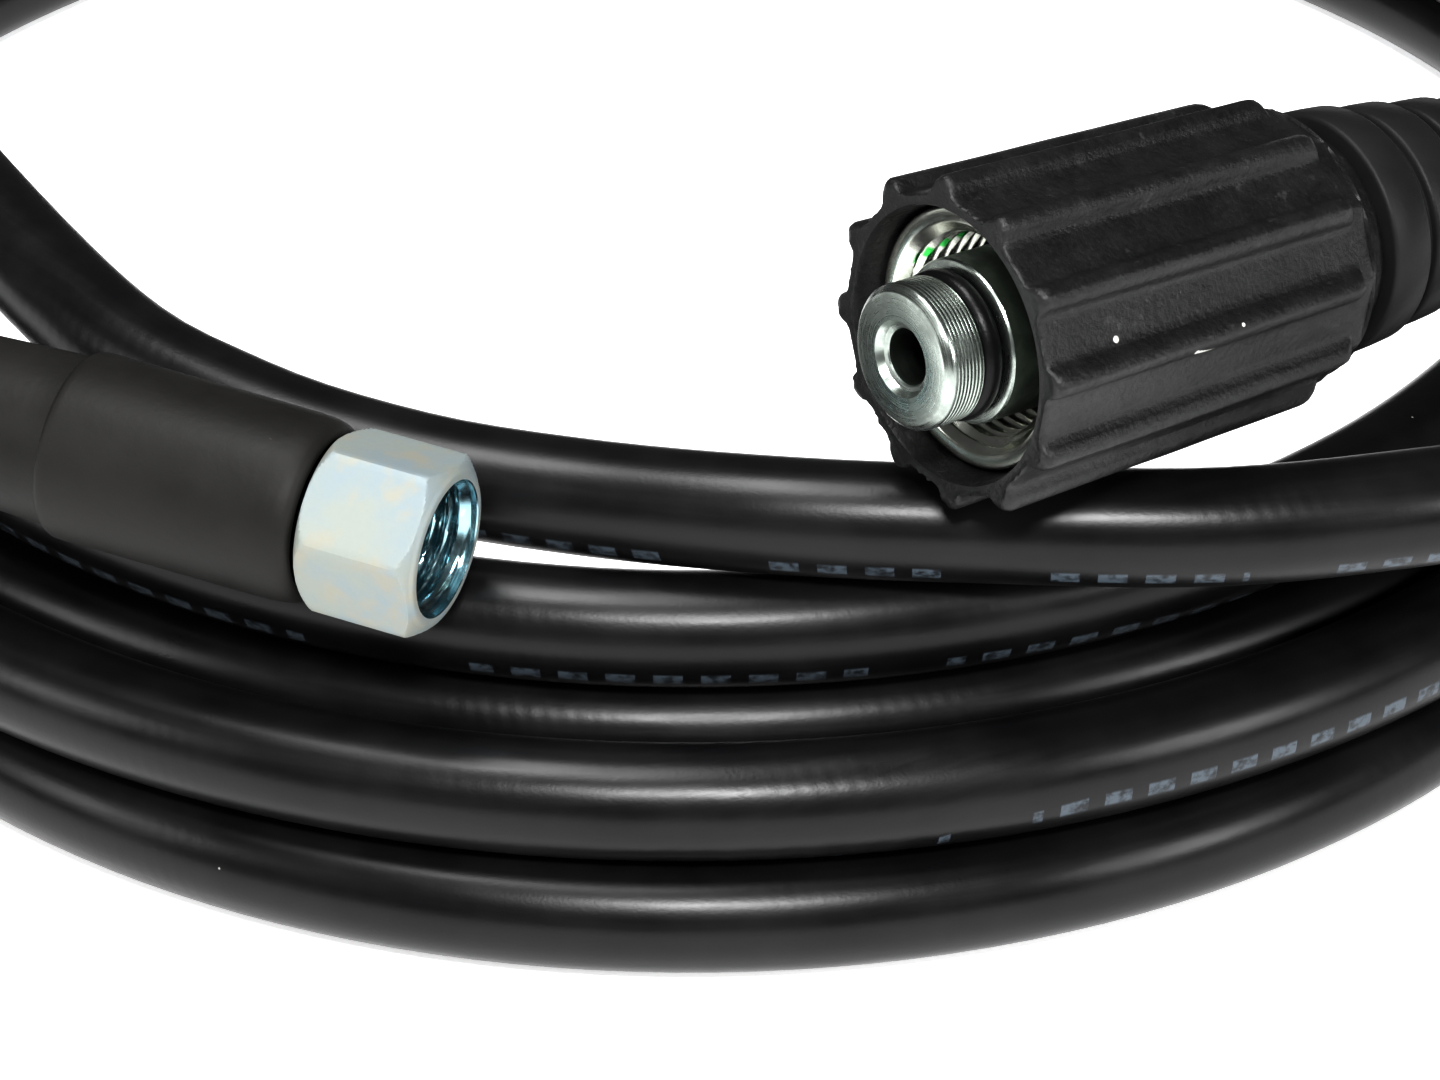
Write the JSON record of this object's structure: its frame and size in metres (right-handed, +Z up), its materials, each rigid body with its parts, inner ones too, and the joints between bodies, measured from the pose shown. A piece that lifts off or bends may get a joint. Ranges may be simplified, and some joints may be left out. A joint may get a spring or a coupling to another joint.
{
  "type": "pressure washer hose",
  "caption": "Coiled black pressure washer hose with a ribbed screw-on hand nut and spigot on one end and a swivelling hexagon union nut on the other.",
  "frame": {"origin": "on the floor under the middle of the whole part's box", "axes": "+Z up from the floor that the coil lies on, -Y towards the side where both couplings lie, +X to the right seen from there"},
  "size_m": [0.3156, 0.2928, 0.083],
  "materials": {
    "hose_rubber": "smooth satin black hose cover with a faint braid ripple",
    "boot_rubber": "matt black moulded rubber",
    "cover_plastic": "fine pebbled satin black moulding",
    "o_ring_rubber": "smooth black rubber",
    "zinc_plate": "bright zinc plate with a faint blue and yellow tint",
    "spigot_steel": "turned steel, bright zinc plated"
  },
  "bodies": {
    "hose": {"hose_coil": "hose_rubber", "hose_hand_end": "hose_rubber", "hose_hex_end": "hose_rubber", "spigot": "spigot_steel", "o_ring": "o_ring_rubber", "hand_end_ferrule": "spigot_steel", "bend_protector": "boot_rubber", "nipple": "spigot_steel", "hex_end_ferrule": "spigot_steel", "rubber_sleeve": "boot_rubber"},
    "hand_nut": {"hand_nut_cover": "cover_plastic", "hand_nut": "zinc_plate"},
    "hex_nut": {"hex_nut": "zinc_plate"}
  },
  "joints": [
    {"name": "hand_nut_turn", "type": "hinge", "parent": "hose", "child": "hand_nut", "pos_m": [0.02061, -0.12959, 0.0664], "axis": [0.796, 0.5994, -0.0841], "continuous": true},
    {"name": "hex_nut_turn", "type": "hinge", "parent": "hose", "child": "hex_nut", "pos_m": [-0.02802, -0.13105, 0.0439], "axis": [-0.9212, 0.385, 0.0563], "continuous": true}
  ]
}
